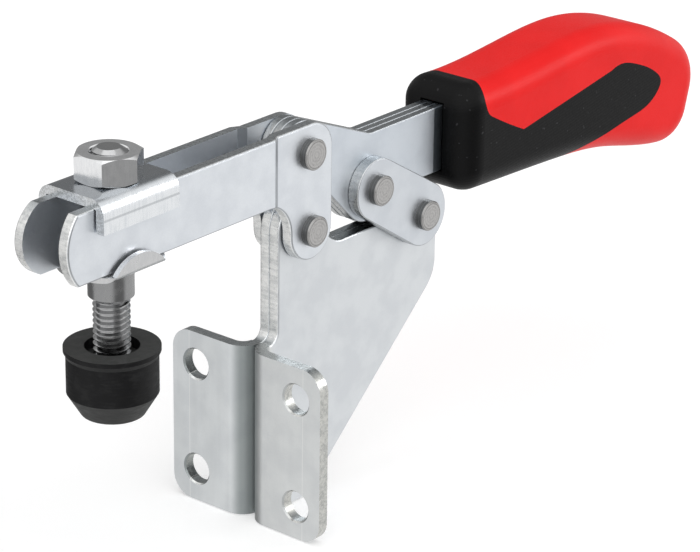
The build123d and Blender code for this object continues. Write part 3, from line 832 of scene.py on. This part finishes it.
select_faces(spindle, lambda face: face.normal.z > end_face
             and face.calc_center_median().z > thread_end_z - end_reach)
draw_out(spindle_high[Z] - thread_end_z, spindle_end_radius / thread_outer_radius)
select_faces(spindle, lambda face: face.normal.z < -end_face
             and face.calc_center_median().z < thread_start_z + end_reach)
draw_out(spindle_low[Z] + disc_height - thread_start_z, 1.0)
draw_out(0.0, disc_radius / thread_outer_radius)
draw_out(-disc_height, 1.0)
bpy.ops.mesh.select_all(action="SELECT")
bpy.ops.mesh.normals_make_consistent(inside=False)
bpy.ops.object.mode_set(mode="OBJECT")
print("spindle faces", len(spindle.data.polygons))

# %% Finish the spindle
bpy.ops.object.shade_smooth_by_angle(angle=smooth_below)
spindle.data.materials.clear()
# Painted shade: the thread's tone paints it darker.
spindle.data.materials.append(polished_steel("rolled_thread", 0.18, 0.0, 0.52))
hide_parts("spindle")
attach(spindle, "rod")
heights = [point.co.z for point in spindle.data.vertices]
print("spindle spans z", round(min(heights), 5), "to", round(max(heights), 5))

# %% [markdown]
# The cap is moulded rubber. Rubber is never quite black: it has a dull sheen, a bloom of paler
# dust, and fine marks from its mould. The bloom is soft noise in the colour, kept very dark.
# The faces that slope or lie flat, above and below, are painted paler than the upright side, as
# painted light.

# %% Rubber cap
rubber_dark = (0.0035, 0.0035, 0.004)
rubber_bloom = (0.012, 0.012, 0.0125)
# Painted light on the faces that slope or lie flat.
painted_rubber_light = (0.042, 0.043, 0.042)
bloom_per_mm = 0.3
pores_per_mm = 4.0
scuffs_per_mm = (0.5, 0.5, 2.0)
rubber_depth_mm = 0.025

rubber = start_finish("moulded_rubber", rubber_dark, 0.0, 0.5)
shader_of(rubber).inputs["Specular IOR Level"].default_value = 0.18
rubber_place = place_on_piece(rubber)
bloom = grain(rubber, rubber_place, bloom_per_mm, detail=6.0)
pores = grain(rubber, rubber_place, pores_per_mm, detail=3.0)
scuffs = grain(rubber, place_on_piece(rubber, scuffs_per_mm), 1.0, detail=6.0)
bloom_share = spread(rubber, maths(rubber, "ADD", bloom, scuffs), 0.9, 1.35)
# Painted light: faces that slope or lie flat are painted paler.
rubber_light_share = spread(rubber, facing(rubber, Z), 0.35, 0.6)
bloomed = colours(rubber, bloom_share, rubber_dark, rubber_bloom)
paint(rubber, colours(rubber, rubber_light_share, bloomed, painted_rubber_light))
roughen(rubber, scuffs, 0.42, 0.6)
relief(rubber, maths(rubber, "ADD", pores, scuffs), rubber_depth_mm)
dress(rubber, "rubber_cap")

# %% [markdown]
# The grip's hard core is red plastic with a fine spark-eroded texture, which breaks the shine
# into a soft glow. The colour hardly varies, so the life of the surface is in its roughness and
# in a relief of a few hundredths of a millimetre.

# %% Red grip
red_light = (0.84, 0.008, 0.008)
red_deep = (0.78, 0.005, 0.005)
red_texture_per_mm = 3.2
red_clouds_per_mm = 0.08
grip_depth_mm = 0.02

red = start_finish("moulded_red", red_light, 0.0, 0.38)
shader_of(red).inputs["Specular IOR Level"].default_value = 0.17
red_place = place_on_piece(red)
red_texture = grain(red, red_place, red_texture_per_mm, detail=2.0)
red_clouds = grain(red, red_place, red_clouds_per_mm, detail=3.0)
paint(red, colours(red, spread(red, red_clouds, *soft_noise), red_deep, red_light))
roughen(red, red_texture, 0.34, 0.46)
relief(red, red_texture, grip_depth_mm)
dress(red, "grip_core")

# %% [markdown]
# The soft skin over it is black elastomer. It has faint lines that run with the band along the
# grip, so a Mapping node turns the pattern by the band's own slope before a Wave texture draws
# them over the whole skin. A few paler specks are dust in the mould.

# %% Black overmould
skin_dark = (0.003, 0.003, 0.0032)
skin_dust = (0.028, 0.028, 0.03)
band_slope = math.radians(9.3)
band_lines_scale = 0.42
skin_texture_per_mm = 3.0
specks_per_mm = 0.9

skin = start_finish("soft_black_skin", skin_dark, 0.0, 0.42)
shader_of(skin).inputs["Specular IOR Level"].default_value = 0.11
skin_place = place_on_piece(skin)
band_place = place_on_piece(skin, turn=(0, band_slope, 0))
band_lines = waves(skin, band_place, "BANDS", "Z", band_lines_scale, distortion=0.2)
skin_texture = grain(skin, skin_place, skin_texture_per_mm, detail=3.0)
specks = spread(skin, grain(skin, skin_place, specks_per_mm, detail=1.0), 0.74, 0.78)
paint(skin, colours(skin, specks, skin_dark, skin_dust))
roughen(skin, skin_texture, 0.36, 0.5)
lines_height = maths(skin, "MULTIPLY", band_lines, 0.5)
relief(skin, maths(skin, "ADD", skin_texture, lines_height), grip_depth_mm)
dress(skin, "grip_overmould")

# %% [markdown]
# The studio is plain: a pale floor that the clamp stands on, a white surround, and two lamps.
# The camera sees the floor a little brighter than it is lit, and polished steel doesn't mirror
# it, so the floor keeps the clamp's shadow and throws no hard edge into the steel.

# %% Floor
floor_size = 6.0
floor_gap = 0.0002
floor_glow = 0.30

bpy.ops.object.select_all(action="DESELECT")
bpy.ops.mesh.primitive_plane_add(size=floor_size, location=(0, 0, solids_box[0][Z] - floor_gap))
floor = bpy.context.object
floor.name = "floor"
floor.visible_glossy = False
paper = start_finish("pale_paper", (0.82, 0.82, 0.82), 0.0, 0.9)
paper_shader = shader_of(paper)
paper_shader.inputs["Specular IOR Level"].default_value = 0.0
paper_shader.inputs["Emission Color"].default_value = (1.0, 1.0, 1.0, 1.0)
camera_ray = paper.node_tree.nodes.new("ShaderNodeLightPath").outputs["Is Camera Ray"]
wire(paper, maths(paper, "MULTIPLY", camera_ray, floor_glow), paper_shader.inputs["Emission Strength"])
floor.data.materials.append(paper)
print("floor at z", round(floor.location.z, 4))

# %% [markdown]
# The camera sees the surround as pure white. Polished steel needs something darker to reflect,
# or it looks like paper, so its reflections show three dim walls, one at the clamp's right, one
# behind it and one at its left. They are drawn in the world's own colours by direction.

# %% World
surround_light = 0.62
surround_mirrored = 0.93
wall_mirrored = 0.30
world = bpy.data.worlds.new("studio")
bpy.context.scene.world = world
world.use_nodes = True
background = world.node_tree.nodes["Background"]
direction = world.node_tree.nodes.new("ShaderNodeTexCoord").outputs["Generated"]


def wall(towards, start, full):
    """How far a direction looks at a wall, from 0 to 1."""
    dot = world.node_tree.nodes.new("ShaderNodeVectorMath")
    dot.operation = "DOT_PRODUCT"
    wire(world, direction, dot.inputs[0])
    dot.inputs[1].default_value = Vector(towards).normalized()
    return spread(world, dot.outputs["Value"], start, full)


right_wall = wall((-0.10, -0.95, -0.20), 0.78, 0.97)
back_wall = wall((0.72, 0.59, 0.42), 0.70, 0.94)
left_wall = wall((-0.10, 0.95, -0.25), 0.72, 0.95)
walls = maths(world, "MAXIMUM", maths(world, "MAXIMUM", right_wall, back_wall), left_wall)
mirrored = spread(world, walls, 0.0, 1.0, surround_mirrored, wall_mirrored)
rays = world.node_tree.nodes.new("ShaderNodeLightPath").outputs
seen = maths(world, "MAXIMUM", rays["Is Camera Ray"], rays["Is Transmission Ray"])
glossy = rays["Is Glossy Ray"]
plain = maths(world, "SUBTRACT", 1.0, maths(world, "MAXIMUM", seen, glossy))
strength = maths(world, "ADD", maths(world, "MULTIPLY", plain, surround_light),
                 maths(world, "ADD", seen, maths(world, "MULTIPLY", glossy, mirrored)))
wire(world, strength, background.inputs["Strength"])
background.inputs["Color"].default_value = (1.0, 1.0, 1.0, 1.0)
print("surround", surround_light)

# %% [markdown]
# A sun lamp lights everything from one direction, so only its direction counts. Its angle says
# how wide a patch of sky it fills: the key lamp is very wide, so its shadows are soft, and the
# narrow rear lamp draws the edges at the handle's end.

# %% Lamps
lamps = (
    ("key", (-0.55, -0.45, 0.90), 1.25, 95.0),
    ("rear", (0.72, -0.62, 0.34), 0.55, 22.0),
)
for name, from_direction, energy, softness in lamps:
    lamp_data = bpy.data.lights.new(name, "SUN")
    lamp_data.energy = energy
    lamp_data.angle = math.radians(softness)
    lamp = bpy.data.objects.new(name, lamp_data)
    bpy.context.scene.collection.objects.link(lamp)
    lamp.matrix_world = Vector(from_direction).to_track_quat("Z", "Y").to_matrix().to_4x4()
    print("lamp", name, energy)

# %% [markdown]
# The colours above are written as they should look, so the scene is shown with the Standard
# view, which doesn't bend them.

# %% Finish
bpy.context.scene.view_settings.view_transform = "Standard"
